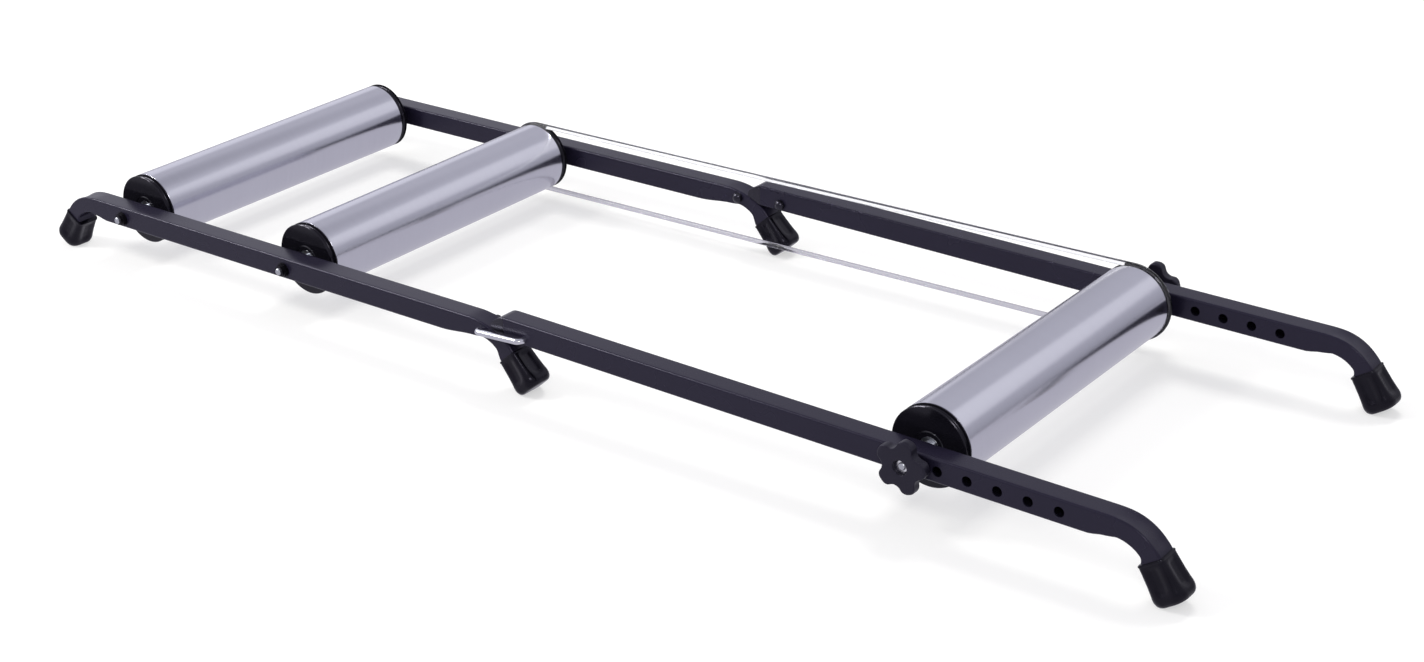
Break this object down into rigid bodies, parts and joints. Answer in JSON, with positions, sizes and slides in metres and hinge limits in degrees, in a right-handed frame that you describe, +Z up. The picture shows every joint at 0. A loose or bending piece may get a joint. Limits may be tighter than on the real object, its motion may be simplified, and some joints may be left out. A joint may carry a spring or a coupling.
{
  "type": "bike rollers",
  "caption": "Folding bike rollers: capped aluminium drums in a black square-tube frame with bent legs, rubber feet, a clear drive belt and star knobs for the wheelbase.",
  "frame": {"origin": "on the ground, on the mid-plane, halfway between the tips of the rear and the front feet", "axes": "+X in the riding direction, +Y towards the belt side, +Z up"},
  "size_m": [1.527, 0.5046, 0.1088],
  "materials": {
    "frame": "satin black powder coat",
    "drum": "fine turned and anodised",
    "cap": "black moulded plastic",
    "rubber": "matte black rubber",
    "plug": "black moulded plastic",
    "knob": "fine grained black plastic",
    "belt": "clear polyurethane cord",
    "chrome": "bright chrome",
    "steel": "zinc plated",
    "black_steel": "black oxide"
  },
  "bodies": {
    "rear_frame": {"rear_rail_right": "frame", "rear_rail_left": "frame", "rear_foot_right": "rubber", "rear_foot_left": "rubber", "centre_foot_right": "rubber", "centre_foot_left": "rubber", "rear_axle": "steel", "middle_axle": "steel", "rear_axle_spacers": "steel", "middle_axle_spacers": "steel", "axle_washers": "black_steel", "axle_nuts": "black_steel", "drive_belt": "belt"},
    "rear_drum": {"rear_drum_tube": "drum", "rear_drum_cap_right": "cap", "rear_drum_cap_left": "cap", "rear_drum_bearings": "steel"},
    "middle_drum": {"middle_drum_tube": "drum", "middle_drum_cap_right": "cap", "middle_drum_cap_left": "cap", "middle_drum_bearings": "steel"},
    "fold_links": {"fold_link_right": "chrome", "fold_link_left": "chrome", "link_caps": "cap"},
    "front_frame": {"front_rail_right": "frame", "front_rail_left": "frame", "front_foot_right": "rubber", "front_foot_left": "rubber", "end_plug_right": "plug", "end_plug_left": "plug", "front_axle": "steel", "front_axle_spacers": "steel"},
    "front_drum": {"front_drum_tube": "drum", "front_drum_cap_right": "cap", "front_drum_cap_left": "cap", "front_drum_bearings": "steel"},
    "right_knob": {"star_knob_right": "knob", "knob_insert_right": "steel"},
    "left_knob": {"star_knob_left": "knob", "knob_insert_left": "steel"}
  },
  "joints": [
    {"name": "rear_drum_spin", "type": "hinge", "parent": "rear_frame", "child": "rear_drum", "pos_m": [-0.63289, 0, 0.0593], "axis": [0, 1, 0], "continuous": true},
    {"name": "middle_drum_spin", "type": "hinge", "parent": "rear_frame", "child": "middle_drum", "pos_m": [-0.35519, 0, 0.0593], "axis": [0, 1, 0], "continuous": true},
    {"name": "link_swing", "type": "hinge", "parent": "rear_frame", "child": "fold_links", "pos_m": [-0.05449, 0, 0.063], "axis": [0, -1, 0], "range_deg": [0, 132], "deforming": ["drive_belt"]},
    {"name": "front_fold", "type": "hinge", "parent": "fold_links", "child": "front_frame", "pos_m": [0.00741, 0, 0.06661], "axis": [0, -1, 0], "range_deg": [0, 33]},
    {"name": "front_drum_spin", "type": "hinge", "parent": "front_frame", "child": "front_drum", "pos_m": [0.47873, 0, 0.06478], "axis": [0, 1, 0], "continuous": true},
    {"name": "right_knob_turn", "type": "hinge", "parent": "front_frame", "child": "right_knob", "pos_m": [0.47873, -0.238, 0.06478], "axis": [0, 1, 0], "continuous": true},
    {"name": "left_knob_turn", "type": "hinge", "parent": "front_frame", "child": "left_knob", "pos_m": [0.47873, 0.238, 0.06478], "axis": [0, 1, 0], "continuous": true}
  ],
  "couplings": [
    {"joint": "front_fold", "follows": "link_swing", "ratio": 0.25},
    {"joint": "front_drum_spin", "follows": "middle_drum_spin", "ratio": 1}
  ]
}
